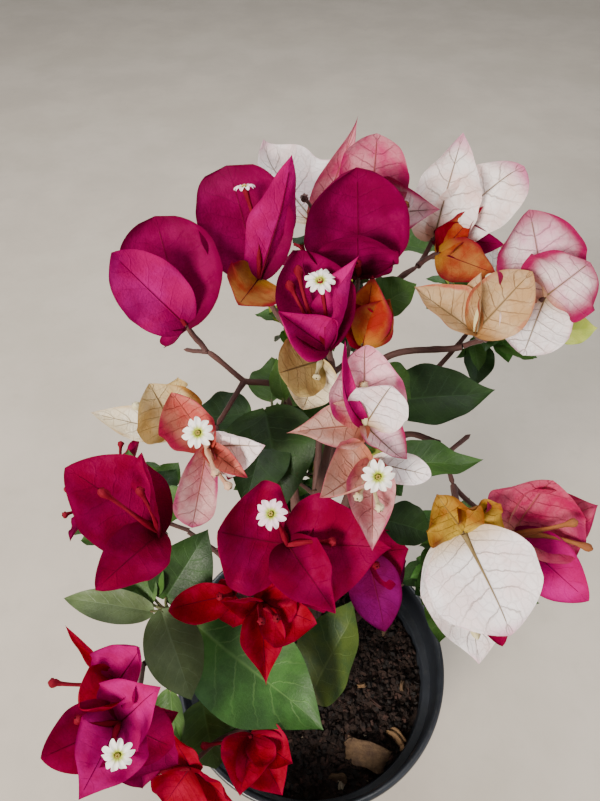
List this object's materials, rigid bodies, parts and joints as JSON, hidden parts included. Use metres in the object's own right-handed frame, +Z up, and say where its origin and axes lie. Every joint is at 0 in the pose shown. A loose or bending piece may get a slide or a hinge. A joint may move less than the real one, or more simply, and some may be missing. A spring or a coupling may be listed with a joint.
{
  "type": "potted bougainvillea bush",
  "caption": "Young flowering shrub with papery pink, red and cream bracts on thin woody boughs, in a round black nursery pot filled with potting mix.",
  "frame": {"origin": "centre of the pot's flat underside, on the surface that the pot stands on", "axes": "+Z up along the pot's axis; the front of the plant faces -Y and its right side is +X"},
  "size_m": [0.2176, 0.2098, 0.3207],
  "materials": {
    "pot_plastic": "thin black moulded plastic with a soft sheen",
    "potting_mix": "moist crumbly mix of compost and bark",
    "bark": "brown bark, smoother towards the tips",
    "leaves": "soft leaf with a faint gloss",
    "bracts_magenta": "thin papery bracts",
    "bracts_coral": "thin papery bracts",
    "bracts_deep_magenta": "thin papery bracts",
    "bracts_dark_magenta": "thin papery bracts",
    "bracts_pink": "thin papery bracts",
    "bracts_blush": "thin papery bracts",
    "bracts_tan": "thin papery bracts",
    "bracts_salmon": "thin papery bracts",
    "bracts_crimson": "thin papery bracts",
    "bracts_red": "thin papery bracts",
    "bracts_purple": "thin papery bracts",
    "bracts_white_pink": "thin papery bracts"
  },
  "bodies": {
    "root": {"pot": "pot_plastic", "potting_mix": "potting_mix", "trunk": "bark", "bough_upper_left": "bark", "bough_top": "bark", "bough_top_back": "bark", "bough_far_right": "bark", "bough_centre": "bark", "bough_right": "bark", "bough_left": "bark", "bough_front_high": "bark", "bough_front_low": "bark", "bough_front_left": "bark", "bough_back": "bark", "bough_back_right": "bark", "bough_back_left": "bark", "bough_right_low": "bark", "spray_upper_left": "bracts_magenta", "spray_middle_left": "bracts_coral", "spray_top_left": "bracts_deep_magenta", "spray_top_middle": "bracts_dark_magenta", "spray_high_centre": "bracts_magenta", "spray_top_back": "bracts_pink", "spray_top_right": "bracts_blush", "spray_far_right": "bracts_tan", "spray_centre": "bracts_salmon", "spray_front": "bracts_crimson", "spray_red": "bracts_red", "spray_under": "bracts_purple", "spray_left": "bracts_deep_magenta", "leaves_left": "leaves", "leaves_centre": "leaves", "leaves_right": "leaves", "leaves_front": "leaves", "leaves_inner": "leaves", "spray_lower_left": "bracts_magenta", "spray_low_front": "bracts_red", "spray_right": "bracts_white_pink", "mass_back_high": "leaves", "mass_back_low": "leaves", "mass_back_middle": "leaves", "mass_back_right": "leaves", "mass_back_left": "leaves", "mass_back_foot": "leaves", "mass_right_low": "leaves"}
  },
  "joints": []
}
